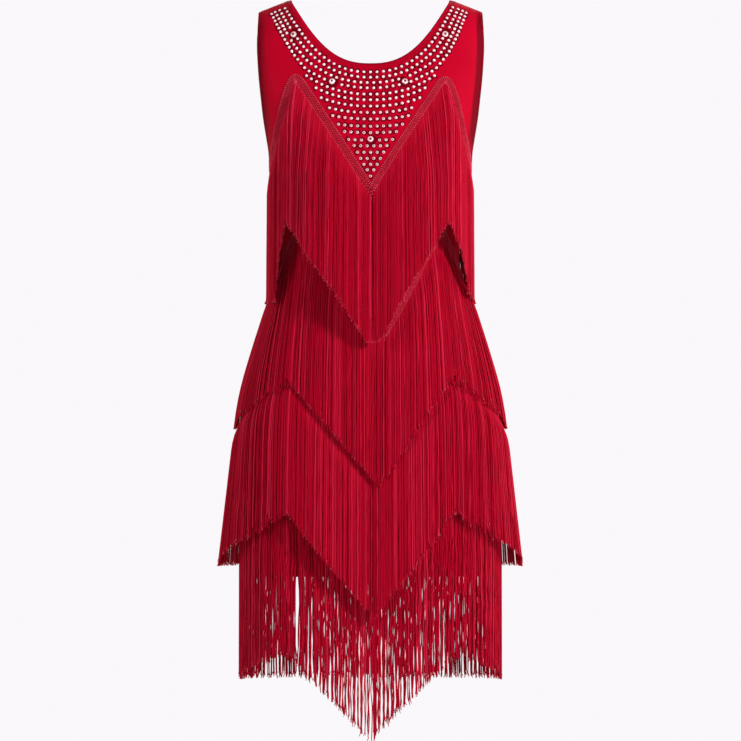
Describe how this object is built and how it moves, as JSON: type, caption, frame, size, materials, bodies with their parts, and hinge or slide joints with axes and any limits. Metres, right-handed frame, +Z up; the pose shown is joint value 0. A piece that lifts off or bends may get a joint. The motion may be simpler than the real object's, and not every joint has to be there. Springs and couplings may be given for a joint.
{
  "type": "latin dance dress",
  "caption": "Sleeveless scoop-neck dance dress in stretch jersey, hung with tiers of long fringe on zigzag headings; filled out as worn.",
  "frame": {"origin": "midway between the neck ends of the two shoulder seams, at the height where the straps rest on the wearer", "axes": "+Z up, the front faces -Y, +X to the right of someone looking at the front"},
  "size_m": [0.3834, 0.2542, 0.9428],
  "materials": {
    "jersey": "satin",
    "fringe": "satin",
    "crystal": "gloss"
  },
  "bodies": {
    "root": {"front_panel": "jersey", "back_panel": "jersey", "front_fringe_1": "fringe", "front_fringe_2": "fringe", "front_fringe_3": "fringe", "front_fringe_4": "fringe", "back_fringe_1": "fringe", "back_fringe_2": "fringe", "back_fringe_3": "fringe", "back_fringe_4": "fringe"}
  },
  "joints": []
}
